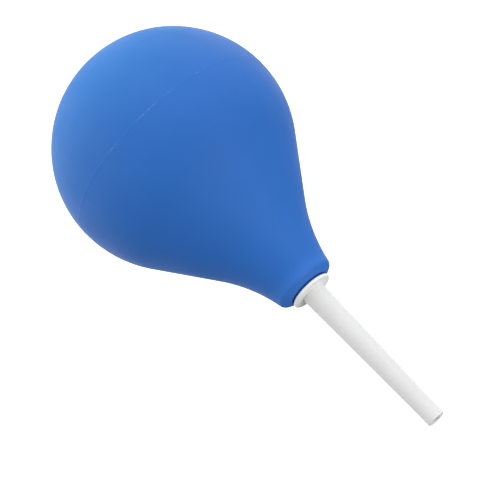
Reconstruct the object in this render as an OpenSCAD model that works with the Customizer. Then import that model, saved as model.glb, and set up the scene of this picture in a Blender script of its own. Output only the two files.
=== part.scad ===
// Squeeze-bulb nasal aspirator, standing on its foot with the nozzle pointing up.
// Millimetres. The origin is at the middle of the foot, and +Z runs along the nozzle.

/* [Bulb] */
// Largest diameter of the bulb
bulb_d = 102; // [100:1:104]
// Thickness of the rubber wall
wall_t = 3; // [2:0.5:4]
// Diameter of the flat foot that the bulb stands on
foot_d = 28; // [26:1:30]
// Half angle of the cone between the ball and the neck, in degrees
shoulder_angle = 34.25; // [33.5:0.25:35.5]
// Half angle of the cone inside, which makes the wall thicker towards the neck
inner_angle = 37; // [36.5:0.25:38]
// Radius of the hollow curve between the cone and the neck, where the neck is long enough for it
flare_r = 72; // [60:1:80]

/* [Neck] */
// Height of the neck's mouth above the foot
neck_z = 133; // [132:0.1:136]
// Diameter that the neck's taper would come to at that height
neck_d = 25.7; // [24.9:0.1:26.5]
// Half angle of the neck's taper, in degrees
neck_angle = 12.4; // [11.6:0.2:13.4]
// Diameter of the flat rim round the mouth
rim_d = 19.2; // [18.6:0.1:19.8]
// Slope of the lip outside the rim, in degrees
lip_angle = 28; // [24:1:36]
// Rounding between that slope and the neck's taper
lip_edge_r = 2.5; // [1.5:0.1:3]

/* [Squeeze walls] */
// Diameter of the round piece of wall that a finger presses in
press_d = 60; // [40:1:60]
// Gap round each of those pieces
press_gap = 0.3; // [0.2:0.1:0.6]

/* [Neck insert] */
// Outer diameter of the hard insert
insert_d = 17; // [16.5:0.1:17.5]
// Length of the insert
insert_h = 16.4; // [15.4:0.2:17.4]
// How far each grip rib stands out of the insert
rib_h = 0.8; // [0.4:0.1:1]
// Number of grip ribs
rib_count = 3; // [2:1:3]

/* [Sealing ring] */
// Diameter of the ring's round cord
seal_cord_d = 2.4; // [2.2:0.1:2.6]
// Height of the ring, pressed between the insert and the flange
seal_t = 2.2; // [2.1:0.1:2.2]
// How deep the ring sits in the neck's mouth
seal_inset = 1.3; // [1.1:0.1:1.6]

/* [Nozzle] */
// Diameter of the flange
flange_d = 18.6; // [18:0.2:20]
// Thickness of the flange
flange_t = 1.3; // [1.2:0.1:2]
// Rounding of the flange's outer edge
flange_edge_r = 0.6; // [0.3:0.1:0.6]
// Length of the tube in front of the flange
tube_h = 72.7; // [60:0.1:80]
// Diameter of the tube at the flange
tube_root_d = 10.4; // [9:0.1:10.8]
// Diameter of the tube at its tip
tube_tip_d = 8; // [6.4:0.1:8.4]
// Length of the straight stretch at the tip
tip_h = 8; // [6:0.5:12]
// Rounding of the tip's outer edge
tip_edge_r = 0.6; // [0.2:0.1:0.8]
// Diameter of the channel right through the nozzle
channel_d = 3.2; // [2:0.1:4]
// Length of the shank below the flange
shank_h = 16.2; // [15:0.1:17]

/* [Thread] */
// Rise of the thread in one turn
lead = 3; // [3:0.1:3.4]
// Diameter of the shank at the thread's root
shank_d = 11; // [10.6:0.1:11.2]
// How far the thread stands out of the shank, and out of the insert's bore
thread_h = 0.8; // [0.6:0.1:0.9]
// Clearance between the thread's crest and the wall opposite
thread_gap = 0.3; // [0.25:0.05:0.4]

/* [Hidden] */

bulb_blue = "royalblue";
seal_blue = "royalblue";
nozzle_white = "white";
insert_white = "whitesmoke";

round_fn = 180;
small_fn = 96;

// Bulb: a ball with its foot cut flat, then a cone, a hollow curve and the neck's own slight cone
bulb_r = bulb_d / 2;
centre_z = sqrt(bulb_r * bulb_r - foot_d * foot_d / 4);
inner_r = bulb_r - wall_t;
neck_r = neck_d / 2;
shoulder_slope = tan(shoulder_angle);
neck_slope = tan(neck_angle);

// Where the cone leaves the ball, outside and inside
shoulder = [bulb_r * cos(shoulder_angle), centre_z + bulb_r * sin(shoulder_angle)];
inner_shoulder = [inner_r * cos(inner_angle), centre_z + inner_r * sin(inner_angle)];

// The neck's taper and the lip's slope meet in a corner, which lip_edge_r rounds off
rim_r = rim_d / 2;
lip_slope = tan(lip_angle);
lip_drop = (neck_r - rim_r) * lip_slope / (1 - neck_slope * lip_slope);
lip_reach = lip_edge_r * tan((90 - neck_angle - lip_angle) / 2);
lip_low = [
    neck_r + neck_slope * lip_drop + lip_reach * sin(neck_angle),
    neck_z - lip_drop - lip_reach * cos(neck_angle),
];
lip_high = [
    neck_r + neck_slope * lip_drop - lip_reach * cos(lip_angle),
    neck_z - lip_drop + lip_reach * sin(lip_angle),
];
lip_centre = lip_low - lip_edge_r * [cos(neck_angle), sin(neck_angle)];

// The cone and the neck meet in a corner, which the hollow curve rounds off
corner_z = (shoulder.x + shoulder_slope * shoulder.y - neck_r - neck_slope * neck_z)
    / (shoulder_slope - neck_slope);
corner_r = neck_r + neck_slope * (neck_z - corner_z);
flare_turn = tan((shoulder_angle - neck_angle) / 2);
flare_room = (lip_low.y - corner_z) / cos(neck_angle) - 0.5;
flare_reach = min(flare_r * flare_turn, flare_room);
curve_r = flare_reach / flare_turn;
flare_low = [
    corner_r + flare_reach * sin(shoulder_angle),
    corner_z - flare_reach * cos(shoulder_angle),
];
flare_high = [
    corner_r - flare_reach * sin(neck_angle),
    corner_z + flare_reach * cos(neck_angle),
];
flare_centre = flare_low + curve_r * [cos(shoulder_angle), sin(shoulder_angle)];

// The neck's bore, which holds the insert with the sealing ring on top of it
insert_r = insert_d / 2;
insert_top_z = neck_z - seal_inset;
insert_z = insert_top_z - insert_h;
bore_low_z = inner_shoulder.y + (inner_shoulder.x - insert_r) / tan(inner_angle);
barb_h = 2.2;
barb_r = insert_r + 1.6;
rib_w = 1.6;
rib_low_z = bore_low_z + 1.4;
rib_step = (insert_top_z - 1.4 - rib_w - rib_low_z) / (rib_count - 1);

// The thread's two ridges: one stands out of the shank, one out of the insert's bore
shank_r = shank_d / 2;
thread_crest_r = shank_r + thread_h;
insert_bore_r = thread_crest_r + thread_gap;
ridge_bury = 0.3;
ridge_root_w = 1.8;
ridge_crest_w = 1;
ridge_steps = 20;
ridge_turns = 2.5;
ridge_fade = 60;
ridge_low_fade = 0.2;
thread_z = neck_z - 13.1;

seal_bore_r = shank_r + thread_gap;
flange_z = insert_top_z + seal_t;
tube_z = flange_z + flange_t;
tip_z = tube_z + tube_h;

// Half sections of the bulb, to be turned about the axis. They are stacked, one on the next.
module ball_section(r, low_z, high_z) {
    intersection() {
        translate([0, centre_z]) circle(r = r, $fn = round_fn);
        translate([0, low_z]) square([r + 1, high_z - low_z]);
    }
}

module cone_section(low, high) {
    polygon([[0, low.y], low, high, [0, high.y]]);
}

module flare_section() {
    difference() {
        cone_section(flare_low, flare_high);
        translate(flare_centre) circle(r = curve_r, $fn = 4 * round_fn);
    }
}

module neck_section() {
    union() {
        polygon([[0, flare_high.y], flare_high, lip_low, lip_high, [rim_r, neck_z], [0, neck_z]]);
        translate(lip_centre) circle(r = lip_edge_r, $fn = small_fn);
    }
}

module outer_section() {
    union() {
        ball_section(bulb_r, 0, shoulder.y);
        cone_section(shoulder, flare_low);
        flare_section();
        neck_section();
    }
}

module inner_section() {
    union() {
        ball_section(inner_r, wall_t, inner_shoulder.y);
        cone_section(inner_shoulder, [insert_r, bore_low_z]);
    }
}

// Outline of the insert: a sleeve with grip ribs and a barb below the neck's bore
module insert_section() {
    union() {
        translate([0, insert_z]) square([insert_r, insert_h]);
        polygon([
            [0, insert_z],
            [barb_r, insert_z],
            [insert_r, insert_z + barb_h],
            [0, insert_z + barb_h],
        ]);
        for (i = [0 : rib_count - 1])
            translate([0, rib_low_z + i * rib_step])
                polygon([
                    [0, 0],
                    [insert_r, 0],
                    [insert_r + rib_h, rib_w / 2],
                    [insert_r, rib_w],
                    [0, rib_w],
                ]);
    }
}

// The whole rubber shell, before the two squeeze walls are parted from it
module shell() {
    rotate_extrude($fn = round_fn)
        difference() {
            outer_section();
            inner_section();
            insert_section();
            translate([0, bore_low_z - 0.5]) square([insert_r, neck_z - bore_low_z + 1]);
        }
}

// A round bar along Y through the ball's middle, side = -1 for the front half and 1 for the rear
module press_bar(d, side) {
    translate([0, 0, centre_z])
        rotate([-90 * side, 0, 0])
            cylinder(h = bulb_d, d = d, $fn = round_fn);
}

// One ridge of the thread, swept up a right-hand helix, buried ridge_bury deep in the wall it stands on
function ridge_height(a, turns) = min(1, max(ridge_low_fade, min(a, 360 * turns - a) / ridge_fade));

function ridge_points(wall_r, outward, turns) = [
    for (i = [0 : ridge_steps * turns])
        let (
            a = 360 * i / ridge_steps,
            root = wall_r - outward * ridge_bury,
            crest = wall_r + outward * thread_h * ridge_height(a, turns)
        )
        for (p = [
            [root, -ridge_root_w / 2],
            [crest, -ridge_crest_w / 2],
            [crest, ridge_crest_w / 2],
            [root, ridge_root_w / 2],
        ])
            [p.x * cos(a), p.x * sin(a), p.y + lead * a / 360]
];

function flipped(face, outward) = outward > 0 ? face : [face[2], face[1], face[0]];

function ridge_faces(outward, turns) = [
    for (i = [0 : ridge_steps * turns - 1])
        for (j = [0 : 3])
            let (
                a = 4 * i + j,
                b = 4 * i + (j + 1) % 4
            )
            for (face = [[a, b, b + 4], [a, b + 4, a + 4]])
                flipped(face, outward),
    for (face = [[0, 3, 2], [0, 2, 1]])
        flipped(face, outward),
    for (face = [[0, 1, 2], [0, 2, 3]])
        flipped([for (k = face) k + 4 * ridge_steps * turns], outward)
];

module thread_ridge(wall_r, outward, turns) {
    polyhedron(
        points = ridge_points(wall_r, outward, turns),
        faces = ridge_faces(outward, turns),
        convexity = 10
    );
}

module bulb_body() {
    color(bulb_blue)
        difference() {
            shell();
            press_bar(press_d, -1);
            press_bar(press_d, 1);
        }
}

module squeeze_wall(side) {
    color(bulb_blue)
        intersection() {
            shell();
            press_bar(press_d - 2 * press_gap, side);
        }
}

module neck_insert() {
    color(insert_white)
        union() {
            difference() {
                rotate_extrude($fn = small_fn) insert_section();
                translate([0, 0, insert_z - 1])
                    cylinder(h = insert_h + 2, r = insert_bore_r, $fn = small_fn);
            }
            translate([0, 0, thread_z + lead / 2])
                thread_ridge(insert_bore_r, -1, ridge_turns);
        }
}

// A round cord bent into a ring, with its two pressed sides flat
module sealing_ring() {
    color(seal_blue)
        rotate_extrude($fn = small_fn)
            intersection() {
                translate([seal_bore_r + seal_cord_d / 2, insert_top_z + seal_t / 2])
                    circle(d = seal_cord_d, $fn = small_fn);
                translate([0, insert_top_z]) square([2 * insert_r, seal_t]);
            }
}

// A disc with its upper outer edge rounded
module rounded_disc_section(r, h, edge_r) {
    union() {
        polygon([[0, 0], [r, 0], [r, h - edge_r], [r - edge_r, h], [0, h]]);
        translate([r - edge_r, h - edge_r]) circle(r = edge_r, $fn = small_fn);
    }
}

module nozzle() {
    tip_r = tube_tip_d / 2;
    color(nozzle_white)
        difference() {
            union() {
                translate([0, 0, flange_z - shank_h])
                    cylinder(h = shank_h + 0.5, r = shank_r, $fn = small_fn);
                translate([0, 0, thread_z])
                    thread_ridge(shank_r, 1, ridge_turns);
                translate([0, 0, flange_z])
                    rotate_extrude($fn = small_fn)
                        rounded_disc_section(flange_d / 2, flange_t, flange_edge_r);
                translate([0, 0, tube_z - 0.5])
                    cylinder(h = tube_h - tip_h + 0.5, d1 = tube_root_d, d2 = tube_tip_d, $fn = small_fn);
                translate([0, 0, tip_z - tip_h])
                    rotate_extrude($fn = small_fn)
                        rounded_disc_section(tip_r, tip_h, tip_edge_r);
            }
            translate([0, 0, flange_z - shank_h - 1])
                cylinder(h = tip_z - flange_z + shank_h + 2, d = channel_d, $fn = small_fn);
        }
}

bulb_body();
squeeze_wall(-1);  // front_squeeze_wall
squeeze_wall(1);  // rear_squeeze_wall
neck_insert();
sealing_ring();
nozzle();
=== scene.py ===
"""Looks of a squeeze-bulb nasal aspirator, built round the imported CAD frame. Metres throughout."""

import math

import bmesh
import bpy
import numpy as np
from mathutils import Matrix, Vector


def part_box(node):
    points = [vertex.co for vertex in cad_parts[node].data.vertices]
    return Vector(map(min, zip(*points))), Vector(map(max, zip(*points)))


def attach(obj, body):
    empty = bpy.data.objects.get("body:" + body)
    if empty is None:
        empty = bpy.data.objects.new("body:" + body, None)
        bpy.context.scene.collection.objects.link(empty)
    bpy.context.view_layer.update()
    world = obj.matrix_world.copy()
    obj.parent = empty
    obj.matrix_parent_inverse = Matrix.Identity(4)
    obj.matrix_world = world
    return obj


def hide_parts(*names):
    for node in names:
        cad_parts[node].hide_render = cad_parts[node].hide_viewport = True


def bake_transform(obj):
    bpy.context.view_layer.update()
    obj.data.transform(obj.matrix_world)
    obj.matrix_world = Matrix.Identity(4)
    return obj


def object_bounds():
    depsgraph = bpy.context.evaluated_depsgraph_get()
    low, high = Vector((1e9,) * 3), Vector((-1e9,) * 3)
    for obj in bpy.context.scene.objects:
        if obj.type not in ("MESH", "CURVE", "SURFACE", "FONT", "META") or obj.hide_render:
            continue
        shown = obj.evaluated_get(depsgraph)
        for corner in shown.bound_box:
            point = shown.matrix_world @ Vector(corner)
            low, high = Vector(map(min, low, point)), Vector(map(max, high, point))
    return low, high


MM = 0.001

# ---------------------------------------------------------------- the frame

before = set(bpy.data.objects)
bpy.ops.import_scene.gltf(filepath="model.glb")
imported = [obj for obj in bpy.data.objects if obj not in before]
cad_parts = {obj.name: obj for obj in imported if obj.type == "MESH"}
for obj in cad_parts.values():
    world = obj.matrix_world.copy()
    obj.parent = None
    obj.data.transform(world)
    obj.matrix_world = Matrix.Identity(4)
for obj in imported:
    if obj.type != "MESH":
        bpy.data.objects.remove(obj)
cad_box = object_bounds()
body_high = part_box("bulb_body")[1]
wall_low, wall_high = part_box("front_squeeze_wall")
insert_low, insert_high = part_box("neck_insert")
seal_low, seal_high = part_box("sealing_ring")
nozzle_low, nozzle_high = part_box("nozzle")

# ---------------------------------------------------------------- sizes

# Bulb
BULB_R = (cad_box[1].y - cad_box[0].y) / 2
CENTRE_Z = (wall_low.z + wall_high.z) / 2
WALL_T = 3 * MM
SHOULDER_ANGLE = math.radians(34.25)
INNER_ANGLE = math.radians(37)
FLARE_R = 72 * MM
NECK_ANGLE = math.radians(12.4)
NECK_Z = body_high.z
NECK_R = 12.85 * MM
RIM_R = 9.6 * MM
LIP_ANGLE = math.radians(28)
LIP_EDGE_R = 2.5 * MM
RIM_EDGE_R = 1.5 * MM
MOUTH_EDGE_R = 0.4 * MM
FOOT_EDGE_R = 17 * MM
FOOT_LEVEL_R = 12 * MM  # dead level out to here, then a soft rise to the ball
FOOT_DISH_R = 9.5 * MM
FOOT_DISH_DEPTH = 0.5 * MM
FOOT_MARK_R = 2.4 * MM
FOOT_MARK_SHARE = 0.6  # of the dish's depth
PARTING_H = 0.1 * MM
PARTING_W = 0.35 * MM
UNEVEN_H = 0.06 * MM

# Neck insert
INSERT_R = 8.5 * MM
RIB_H = 0.8 * MM
RIB_W = 1.6 * MM
RIB_COUNT = 3
BARB_H = 2.2 * MM
BORE_CHAMFER = 0.4 * MM
INSERT_TOP_Z = insert_high.z

# The hollow inside the bulb: where its cone leaves the ball, and where the neck's bore starts
INNER_R = BULB_R - WALL_T
INNER_SHOULDER = (INNER_R * math.cos(INNER_ANGLE), CENTRE_Z + INNER_R * math.sin(INNER_ANGLE))
BORE_LOW_Z = INNER_SHOULDER[1] + (INNER_SHOULDER[0] - INSERT_R) / math.tan(INNER_ANGLE)

# Nozzle and its thread
SHANK_R = 5.5 * MM
THREAD_H = 0.8 * MM
THREAD_GAP = 0.3 * MM
THREAD_Z = NECK_Z - 13.1 * MM  # where the thread starts, at angle 0
THREAD_TURNS = 2.5
THREAD_STEP = 0.12 * MM  # between the mesh's rows along a thread
LEAD = 3 * MM
RIDGE_CREST_W = 1 * MM
RIDGE_ROOT_W = 1.6 * MM
SHANK_PLAIN_H = 1 * MM  # under the flange, without thread
FLANGE_R = nozzle_high.x
FLANGE_Z = seal_high.z
FLANGE_T = 1.3 * MM
FLANGE_EDGE_R = 0.25 * MM
TUBE_Z = FLANGE_Z + FLANGE_T
TUBE_ROOT_R = 5.2 * MM
TUBE_TIP_R = 4 * MM
TUBE_LINE_H = 0.03 * MM
TUBE_LINE_W = 0.12 * MM
TIP_Z = nozzle_high.z
TIP_H = 8 * MM
CHANNEL_R = 1.6 * MM

FULL_TURN = 2 * math.pi

# ---------------------------------------------------------------- mesh helpers


def smooth(t):
    """0 below 0, 1 above 1, and an even curve between."""
    t = min(1.0, max(0.0, t))
    return t * t * (3 - 2 * t)


def arc(centre, radius, start, end, count):
    """Points (r, z) along an arc, angles from the horizontal."""
    angles = np.linspace(start, end, count)
    return [(centre[0] + radius * math.cos(a), centre[1] + radius * math.sin(a)) for a in angles]


def divided(points, step):
    """The same open outline, with no stretch longer than step."""
    out = [points[0]]
    for p, q in zip(points, points[1:]):
        count = max(1, math.ceil(math.dist(p, q) / step))
        for k in range(1, count + 1):
            t = k / count
            out.append((p[0] + (q[0] - p[0]) * t, p[1] + (q[1] - p[1]) * t))
    return out


def rounded(corners, steps=6):
    """An open outline through corners (r, z, radius), each inner one rounded by its own radius."""
    points = [corners[0][:2]]
    for before, here, after in zip(corners, corners[1:], corners[2:]):
        radius = here[2]
        p = Vector(here[:2])
        if radius == 0:
            points.append(tuple(p))
            continue
        a = (Vector(before[:2]) - p).normalized()
        b = (Vector(after[:2]) - p).normalized()
        half = a.angle(b) / 2
        centre = p + (a + b).normalized() * radius / math.sin(half)
        first = p + a * radius / math.tan(half) - centre
        last = p + b * radius / math.tan(half) - centre
        for k in range(steps + 1):
            points.append(tuple(centre + first.lerp(last, k / steps).normalized() * radius))
    points.append(corners[-1][:2])
    return points


def revolve(name, outline, angles, swell=None, ring=True):
    """Turns an outline of (r, z) points about Z. A ring's outline closes on itself; any other
    starts and ends on the axis. Fewer angles than a full turn leave two flat cut faces."""
    rows, columns = len(outline), len(angles)
    full = abs(angles[-1] - angles[0]) > FULL_TURN * 0.99
    if full:
        columns -= 1
    verts = []
    for r, z in outline:
        for a in angles[:columns]:
            out = r + (swell(r, z, a) if swell and r > 0 else 0)
            verts.append((out * math.cos(a), out * math.sin(a), z))
    faces = []
    for i in range(rows if ring else rows - 1):
        low, high = i * columns, (i + 1) % rows * columns
        for j in range(columns if full else columns - 1):
            k = (j + 1) % columns
            faces.append((low + j, low + k, high + k, high + j))
    if not full:
        faces.append([i * columns for i in range(rows)][::-1])
        faces.append([i * columns + columns - 1 for i in range(rows)])
    return mesh_object(name, verts, faces)


def mesh_object(name, verts, faces):
    """A closed, smooth-shaded object with its corners kept sharp."""
    mesh = bpy.data.meshes.new(name)
    mesh.from_pydata(verts, [], faces)
    bm = bmesh.new()
    bm.from_mesh(mesh)
    bmesh.ops.remove_doubles(bm, verts=bm.verts, dist=1e-7)
    bmesh.ops.dissolve_degenerate(bm, edges=bm.edges, dist=1e-8)
    bmesh.ops.recalc_face_normals(bm, faces=bm.faces)
    for face in bm.faces:
        face.smooth = True
    bm.to_mesh(mesh)
    bm.free()
    mesh.set_sharp_from_angle(angle=math.radians(40))
    obj = bpy.data.objects.new(name, mesh)
    bpy.context.scene.collection.objects.link(obj)
    return obj


def even_normals(obj):
    """Flats stay flat beside small roundings."""
    modifier = obj.modifiers.new("even_normals", "WEIGHTED_NORMAL")
    modifier.keep_sharp = True
    return obj


# ---------------------------------------------------------------- node helpers


def new_material(name):
    material = bpy.data.materials.new(name)
    material.use_nodes = True
    nodes = material.node_tree.nodes
    nodes.clear()
    shader = nodes.new("ShaderNodeBsdfPrincipled")
    output = nodes.new("ShaderNodeOutputMaterial")
    material.node_tree.links.new(shader.outputs["BSDF"], output.inputs["Surface"])
    return material, shader


class Graph:
    """Short forms for the nodes that the materials use. Lengths are in metres on the object."""

    def __init__(self, material):
        self.tree = material.node_tree
        self.place = self.tree.nodes.new("ShaderNodeTexCoord").outputs["Object"]

    def link(self, value, socket):
        if isinstance(value, bpy.types.NodeSocket):
            self.tree.links.new(value, socket)
        else:
            socket.default_value = value

    def noise(self, size, detail=3.0, stretch=(1, 1, 1), shift=(0, 0, 0)):
        mapping = self.tree.nodes.new("ShaderNodeMapping")
        self.link(self.place, mapping.inputs["Vector"])
        mapping.inputs["Scale"].default_value = stretch
        mapping.inputs["Location"].default_value = shift
        node = self.tree.nodes.new("ShaderNodeTexNoise")
        self.link(mapping.outputs["Vector"], node.inputs["Vector"])
        node.inputs["Scale"].default_value = 1 / size
        node.inputs["Detail"].default_value = detail
        return node.outputs["Fac"]

    def math(self, operation, a, b=0.0):
        node = self.tree.nodes.new("ShaderNodeMath")
        node.operation = operation
        self.link(a, node.inputs[0])
        self.link(b, node.inputs[1])
        return node.outputs[0]

    def remap(self, value, low, high, to_low, to_high):
        node = self.tree.nodes.new("ShaderNodeMapRange")
        node.interpolation_type = "SMOOTHSTEP"
        self.link(value, node.inputs["Value"])
        for key, number in (("From Min", low), ("From Max", high), ("To Min", to_low), ("To Max", to_high)):
            node.inputs[key].default_value = number
        return node.outputs["Result"]

    def mix(self, factor, a, b):
        node = self.tree.nodes.new("ShaderNodeMix")
        node.data_type = "RGBA"
        self.link(factor, node.inputs["Factor"])
        self.link(a, node.inputs[6])
        self.link(b, node.inputs[7])
        return node.outputs[2]

    def axis(self, letter):
        node = self.tree.nodes.new("ShaderNodeSeparateXYZ")
        self.link(self.place, node.inputs[0])
        return node.outputs[letter]

    def bump(self, height, strength, depth, under=None):
        node = self.tree.nodes.new("ShaderNodeBump")
        node.inputs["Strength"].default_value = strength
        node.inputs["Distance"].default_value = depth
        self.link(height, node.inputs["Height"])
        if under:
            self.link(under, node.inputs["Normal"])
        return node.outputs["Normal"]


# ---------------------------------------------------------------- materials


def bulb_rubber():
    material, shader = new_material("bulb_rubber")
    g = Graph(material)
    clouds = g.remap(g.noise(38 * MM, 2), 0.3, 0.7, 0, 1)
    blue = g.mix(clouds, (0.022, 0.142, 0.506, 1), (0.020, 0.134, 0.486, 1))
    # Painted light: towards the foot the blue is painted a little paler and greener, as if lit more strongly
    # there
    foot_painted_light = g.remap(g.axis("Z"), 0, 60 * MM, 1, 0)
    blue = g.mix(foot_painted_light, blue, (0.024, 0.172, 0.500, 1))
    # Painted light: the neck's end and lip are painted a little paler, as if lit more strongly there
    neck_painted_light = g.remap(g.axis("Z"), NECK_Z - 9 * MM, NECK_Z - 1 * MM, 0, 1)
    blue = g.mix(neck_painted_light, blue, (0.032, 0.166, 0.575, 1))
    specks = g.remap(g.noise(0.7 * MM, 2), 0.62, 0.78, 0, 0.22)
    blue = g.mix(specks, blue, (0.03, 0.18, 0.56, 1))
    # The mould's parting line round the largest diameter is scuffed paler here and there
    off_line = g.math("ABSOLUTE", g.math("SUBTRACT", g.axis("Z"), CENTRE_Z))
    line = g.remap(off_line, 0.08 * MM, 0.40 * MM, 1, 0)
    patches = g.remap(g.noise(9 * MM, 3, shift=(4, 9, 1)), 0.46, 0.64, 0, 0.26)
    broken = g.remap(g.noise(1.6 * MM, 2), 0.42, 0.58, 0.1, 1)
    scuffs = g.math("MULTIPLY", line, g.math("MULTIPLY", patches, broken))
    blue = g.mix(scuffs, blue, (0.20, 0.40, 0.76, 1))
    g.link(blue, shader.inputs["Base Color"])
    g.link(g.remap(g.noise(16 * MM, 4), 0.3, 0.7, 0.56, 0.66), shader.inputs["Roughness"])
    waves = g.bump(g.noise(14 * MM, 2), 0.15, 1 * MM)
    grain = g.bump(g.noise(0.45 * MM, 3), 0.10, 0.1 * MM, waves)
    g.link(grain, shader.inputs["Normal"])
    shader.inputs["Specular IOR Level"].default_value = 0.25
    return material


def seal_rubber():
    material, shader = new_material("seal_rubber")
    g = Graph(material)
    shade = g.remap(g.noise(3 * MM, 3), 0.3, 0.7, 0, 1)
    # The ring's blue is a darker copy of the bulb's: painted shade, for the shadow under the flange
    g.link(g.mix(shade, (0.013, 0.110, 0.410, 1), (0.015, 0.122, 0.440, 1)), shader.inputs["Base Color"])
    g.link(g.remap(g.noise(2 * MM, 3), 0.3, 0.7, 0.5, 0.65), shader.inputs["Roughness"])
    g.link(g.bump(g.noise(0.4 * MM, 3), 0.15, 0.1 * MM), shader.inputs["Normal"])
    return material


def moulded_plastic(name, colour, shade, rough_low, rough_high, painted_light_zones=()):
    """White plastic with faint flow marks along Z. A painted light zone is the height where the painted
    light makes it whitest and the height where that has faded out."""
    material, shader = new_material(name)
    g = Graph(material)
    clouds = g.remap(g.noise(12 * MM, 3), 0.3, 0.7, 0, 1)
    white = g.mix(clouds, colour, shade)
    for whitest, faded in painted_light_zones:
        # Painted light: the plastic is painted whiter over these heights
        white = g.mix(g.remap(g.axis("Z"), faded, whitest, 0, 1), white, (0.88, 0.88, 0.87, 1))
    g.link(white, shader.inputs["Base Color"])
    g.link(g.remap(g.noise(5 * MM, 4), 0.3, 0.7, rough_low, rough_high), shader.inputs["Roughness"])
    flow = g.bump(g.noise(1.2 * MM, 3, stretch=(1, 1, 0.06)), 0.08, 0.1 * MM)
    grain = g.bump(g.noise(0.25 * MM, 2), 0.03, 0.05 * MM, flow)
    g.link(grain, shader.inputs["Normal"])
    shader.inputs["Specular IOR Level"].default_value = 0.3
    return material


# ---------------------------------------------------------------- the bulb


def bulb_outline():
    """Outer surface from the foot's middle up to the neck's mouth, then the inner one back down."""
    slope, neck_slope, lip_slope = math.tan(SHOULDER_ANGLE), math.tan(NECK_ANGLE), math.tan(LIP_ANGLE)
    shoulder = (BULB_R * math.cos(SHOULDER_ANGLE), CENTRE_Z + BULB_R * math.sin(SHOULDER_ANGLE))
    corner_z = (shoulder[0] + slope * shoulder[1] - NECK_R - neck_slope * NECK_Z) / (slope - neck_slope)
    lip_drop = (NECK_R - RIM_R) * lip_slope / (1 - neck_slope * lip_slope)
    outline = foot_outline()
    low_angle = -math.acos(FOOT_EDGE_R / BULB_R)
    ball = arc((0, CENTRE_Z), BULB_R, low_angle, SHOULDER_ANGLE, 90)
    # More rows beside the parting line, to carry its ridge
    ridge_reach = 3 * PARTING_W / BULB_R
    near_line = arc((0, CENTRE_Z), BULB_R, -ridge_reach, ridge_reach, 21)
    outline += sorted(ball[1:] + near_line, key=lambda p: p[1])
    cone_neck_and_lip = rounded([
        (*shoulder, 0),
        (NECK_R + neck_slope * (NECK_Z - corner_z), corner_z, FLARE_R),
        (NECK_R + neck_slope * lip_drop, NECK_Z - lip_drop, LIP_EDGE_R),
        (RIM_R, NECK_Z, RIM_EDGE_R),
        (INSERT_R, NECK_Z, MOUTH_EDGE_R),
        (INSERT_R, INSERT_TOP_Z, 0),
    ], steps=24)
    return outline + divided(cone_neck_and_lip, 1.5 * MM)[1:] + inner_outline()


def foot_outline():
    """A flat ring to stand on round a shallow dish, with a small gate mark in the middle."""
    points = []
    softness = 0.15 * MM
    for r in np.linspace(0, FOOT_EDGE_R, 52):
        # The ball's underside, cut off at the floor with a soft corner
        ball_z = CENTRE_Z - math.sqrt(BULB_R**2 - r**2)
        z = (ball_z + math.sqrt(ball_z**2 + softness**2)) / 2
        dish = FOOT_DISH_DEPTH * smooth((FOOT_DISH_R - r) / (1.6 * MM))
        mark = FOOT_MARK_SHARE * smooth((FOOT_MARK_R - r) / (0.7 * MM))
        points.append((float(r), z * smooth((r - FOOT_LEVEL_R) / (2 * MM)) + dish * (1 - mark)))
    return points


def inner_outline():
    """From the neck's bore, moulded round the insert, down the hollow cone and ball."""
    low_angle = -math.asin((CENTRE_Z - WALL_T) / INNER_R)
    points = [*rib_outline()[::-1], (INSERT_R, BORE_LOW_Z)]
    points += divided([(INSERT_R, BORE_LOW_Z), INNER_SHOULDER], 3 * MM)[1:]
    points += arc((0, CENTRE_Z), INNER_R, INNER_ANGLE, low_angle, 70)[1:]
    return points + [(0, WALL_T)]


def rib_outline():
    """The grip ribs from the lowest up, as the insert has them and as the neck is moulded round them."""
    low = BORE_LOW_Z + 1.4 * MM
    step = (INSERT_TOP_Z - 1.4 * MM - RIB_W - low) / (RIB_COUNT - 1)
    points = []
    for i in range(RIB_COUNT):
        z = low + i * step
        points += [(INSERT_R, z), (INSERT_R + RIB_H, z + RIB_W / 2), (INSERT_R, z + RIB_W)]
    return points


def bulb_swell(r, z, a):
    """Rubber is never quite round: a slow unevenness that spares the foot and the neck, and the
    parting line's low ridge."""
    between = smooth((z - 4 * MM) / (12 * MM)) * smooth((118 * MM - z) / (20 * MM))
    slow = math.sin(2 * a + 40 * z) + 0.7 * math.sin(3 * a + 1.1 - 55 * z) + 0.5 * math.sin(5 * a + 70 * z)
    ridge = math.exp(-(((z - CENTRE_Z) / PARTING_W) ** 2))
    broken = 0.65 + 0.35 * math.sin(7 * a + 0.4) * math.sin(11 * a + 2)
    return between * UNEVEN_H * slow + PARTING_H * ridge * broken


def half_turn(start):
    """Angles over half a turn, closer together by the cut so that the two halves shade as one."""
    near_cut = [0, 0.1, 0.35, 0.9]
    middle = list(np.linspace(1.875, 180 - 1.875, 95))
    degrees = near_cut + middle + [180 - d for d in near_cut[::-1]]
    return [math.radians(start + d) for d in degrees]


def make_bulb(material):
    outline = bulb_outline()
    for name, start, body, side in (
        ("bulb_rear_half", 0, "rear_wall", 1),
        ("bulb_front_half", 180, "front_wall", -1),
    ):
        half = revolve(name, outline, half_turn(start), bulb_swell, ring=False)
        half.data.materials.append(material)
        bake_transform(half)
        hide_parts("bulb_body", "front_squeeze_wall" if side < 0 else "rear_squeeze_wall")


# ---------------------------------------------------------------- insert, ring and nozzle


def thread_height(z, a, start_z):
    """How far a right-hand thread that starts at start_z stands out at height z and angle a."""
    turns = (z - start_z) / LEAD - (a % FULL_TURN) / FULL_TURN
    off = (turns - round(turns)) * LEAD
    along = (z - off - start_z) / LEAD
    fade = smooth(along * 6) * smooth((THREAD_TURNS - along) * 6)
    flank = (RIDGE_ROOT_W / 2 - abs(off)) / (RIDGE_ROOT_W / 2 - RIDGE_CREST_W / 2)
    return THREAD_H * fade * smooth(flank)


def full_turn(count):
    return list(np.linspace(0, FULL_TURN, count + 1))


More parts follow.
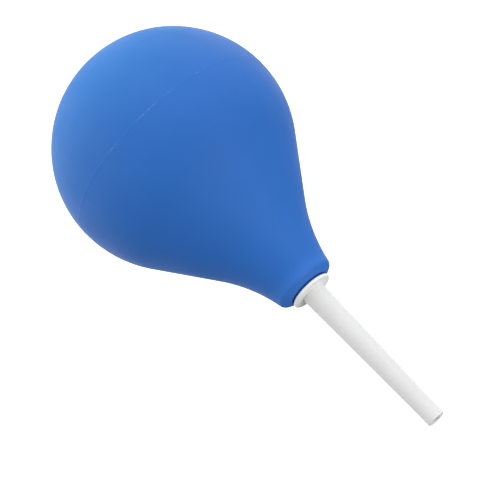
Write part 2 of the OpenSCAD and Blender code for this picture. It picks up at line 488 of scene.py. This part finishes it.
def make_insert(material):
    bore_r = SHANK_R + THREAD_H + THREAD_GAP
    low, high = insert_low.z, INSERT_TOP_Z
    thread_top = high - BORE_CHAMFER
    outside = [(bore_r, low, 0), (insert_high.x, low, 0.3 * MM), (INSERT_R, low + BARB_H, 0.3 * MM)]
    outside += [(*p, 0.15 * MM) for p in rib_outline()]
    outside += [(INSERT_R, high, 0.2 * MM), (bore_r + BORE_CHAMFER, high, 0.1 * MM), (bore_r, thread_top, 0)]
    outline = rounded(outside, steps=4)
    outline += divided([(bore_r, thread_top), (bore_r, low)], THREAD_STEP)[1:-1]

    def swell(r, z, a):
        return -thread_height(z, a, THREAD_Z + LEAD / 2) if r <= bore_r + 1e-7 else 0

    insert = revolve("threaded_neck_insert", outline, full_turn(96), swell)
    insert.data.materials.append(material)
    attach(insert, "bulb")
    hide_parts("neck_insert")


def make_seal(material):
    """A round cord bent into a ring. Pressing has squared its top and bottom off a little."""
    inner_r, outer_r = SHANK_R + THREAD_GAP, seal_high.x
    low, high = seal_low.z, seal_high.z
    cord_r, mid = (outer_r - inner_r) / 2, (low + high) / 2
    round_cord = arc((inner_r + cord_r, mid), cord_r, 0, FULL_TURN, 41)[:-1]
    outline = [(r, min(high, max(low, z))) for r, z in round_cord]
    ring = revolve("sealing_ring_cord", outline, full_turn(128))
    ring.data.materials.append(material)
    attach(ring, "seal")
    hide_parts("sealing_ring")


def make_nozzle(material):
    low, plain_z = nozzle_low.z, FLANGE_Z - SHANK_PLAIN_H
    shank = rounded([(CHANNEL_R, low, 0), (SHANK_R, low, 0.5 * MM), (SHANK_R, plain_z, 0)])
    threaded = divided(shank[-2:], THREAD_STEP)[1:]
    corners = [
        (SHANK_R, plain_z, 0),
        (SHANK_R, FLANGE_Z, FLANGE_EDGE_R),
        (FLANGE_R, FLANGE_Z, FLANGE_EDGE_R),
        (FLANGE_R, TUBE_Z, 0.65 * MM),
        (TUBE_ROOT_R, TUBE_Z, 0.35 * MM),
        (TUBE_TIP_R, TIP_Z - TIP_H, 30 * MM),
        (TUBE_TIP_R, TIP_Z, 0.6 * MM),
        (CHANNEL_R, TIP_Z, 0.35 * MM),
        (CHANNEL_R, low, 0),
    ]
    outline = shank[:-1] + threaded[:-1] + divided(rounded(corners, steps=8), 2 * MM)[:-1]

    def swell(r, z, a):
        if r < CHANNEL_R + 0.5 * MM:
            return 0
        if z < plain_z:
            return thread_height(z, a, THREAD_Z)
        # Two faint mould lines run up the tube's sides
        line = math.exp(-((math.sin(a) * r / TUBE_LINE_W) ** 2))
        fade = smooth((z - TUBE_Z - 1 * MM) / (2 * MM)) * smooth((TIP_Z - z) / MM - 1)
        return TUBE_LINE_H * line * fade

    # Columns stand closer together beside the mould lines
    near_line = [0.3, 0.7, 1.2, 2, 3.5]
    degrees = [0, *near_line, *range(6, 175, 3), *[180 - d for d in near_line[::-1]]]
    turn = [math.radians(d) for d in degrees + [180 + d for d in degrees] + [360]]
    nozzle = revolve("nozzle_moulding", outline, turn, swell)
    nozzle.data.materials.append(material)
    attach(even_normals(nozzle), "nozzle")
    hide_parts("nozzle")


# ---------------------------------------------------------------- stage, light and camera

CAMERA_ELEVATION = math.radians(17.5)
CAMERA_ROLL = math.radians(46)
CAMERA_DISTANCE = 0.9
CAMERA_LENS = 155.6
AIM_ALONG = 52.3 * MM
AIM_ACROSS = 6.5 * MM

look = Vector((0, math.cos(CAMERA_ELEVATION), -math.sin(CAMERA_ELEVATION)))
along = Vector((0, math.sin(CAMERA_ELEVATION), math.cos(CAMERA_ELEVATION)))
across = Vector((1, 0, 0))
image_right = along * math.cos(CAMERA_ROLL) - across * math.sin(CAMERA_ROLL)
image_up = -along * math.sin(CAMERA_ROLL) - across * math.cos(CAMERA_ROLL)
aim = Vector((0, 0, CENTRE_Z)) + along * AIM_ALONG + across * AIM_ACROSS


def make_camera():
    camera = bpy.data.objects.new("camera", bpy.data.cameras.new("camera"))
    camera.data.lens = CAMERA_LENS
    camera.data.sensor_width = 36
    camera.data.clip_start, camera.data.clip_end = 0.01, 20
    camera.location = aim - look * CAMERA_DISTANCE
    camera.rotation_mode = "QUATERNION"
    camera.rotation_quaternion = Matrix((image_right, image_up, -look)).transposed().to_quaternion()
    bpy.context.scene.collection.objects.link(camera)
    bpy.context.scene.camera = camera


def area_light(name, direction, distance, size, watts):
    light = bpy.data.lights.new(name, "AREA")
    light.shape = "DISK"
    light.size = size
    light.energy = watts
    obj = bpy.data.objects.new(name, light)
    towards = Vector(direction).normalized()
    obj.location = Vector((0, 0, NECK_Z / 2)) + towards * distance
    obj.rotation_mode = "QUATERNION"
    obj.rotation_quaternion = towards.to_track_quat("Z", "Y")
    bpy.context.scene.collection.objects.link(obj)


def make_stage():
    reach = 3.0
    corners = [(-reach, -reach, 0), (reach, -reach, 0), (reach, reach, 0), (-reach, reach, 0)]
    floor = bpy.data.meshes.new("floor")
    floor.from_pydata(corners, [], [(0, 1, 2, 3)])
    obj = bpy.data.objects.new("floor", floor)
    bpy.context.scene.collection.objects.link(obj)
    material, shader = new_material("floor_white")
    shader.inputs["Base Color"].default_value = (0.35, 0.35, 0.35, 1)
    shader.inputs["Roughness"].default_value = 0.9
    shader.inputs["Emission Color"].default_value = (1, 1, 1, 1)
    shader.inputs["Emission Strength"].default_value = 1.3
    floor.materials.append(material)


def make_light():
    world = bpy.data.worlds.new("studio")
    world.use_nodes = True
    world.node_tree.nodes["Background"].inputs["Color"].default_value = (1, 1, 1, 1)
    world.node_tree.nodes["Background"].inputs["Strength"].default_value = 0.27
    bpy.context.scene.world = world
    area_light("key", (-1.0, -0.9, 0.3), 2.2, 1.4, 7)
    area_light("top", (-0.35, -0.35, 1.0), 2.4, 1.6, 28)


make_camera()
rubber = bulb_rubber()
make_bulb(rubber)
make_seal(seal_rubber())
make_insert(moulded_plastic("insert_plastic", (0.76, 0.76, 0.74, 1), (0.72, 0.72, 0.70, 1), 0.5, 0.6))
# Painted light: the nozzle is painted whitest on its flange and shank, and on the end face of its tip
make_nozzle(moulded_plastic(
    "nozzle_plastic", (0.71, 0.71, 0.705, 1), (0.69, 0.69, 0.69, 1), 0.42, 0.5,
    painted_light_zones=((TUBE_Z, TUBE_Z + 3 * MM), (TIP_Z - 0.1 * MM, TIP_Z - 0.6 * MM)),
))
make_stage()
make_light()
bpy.context.scene.view_settings.view_transform = "Standard"
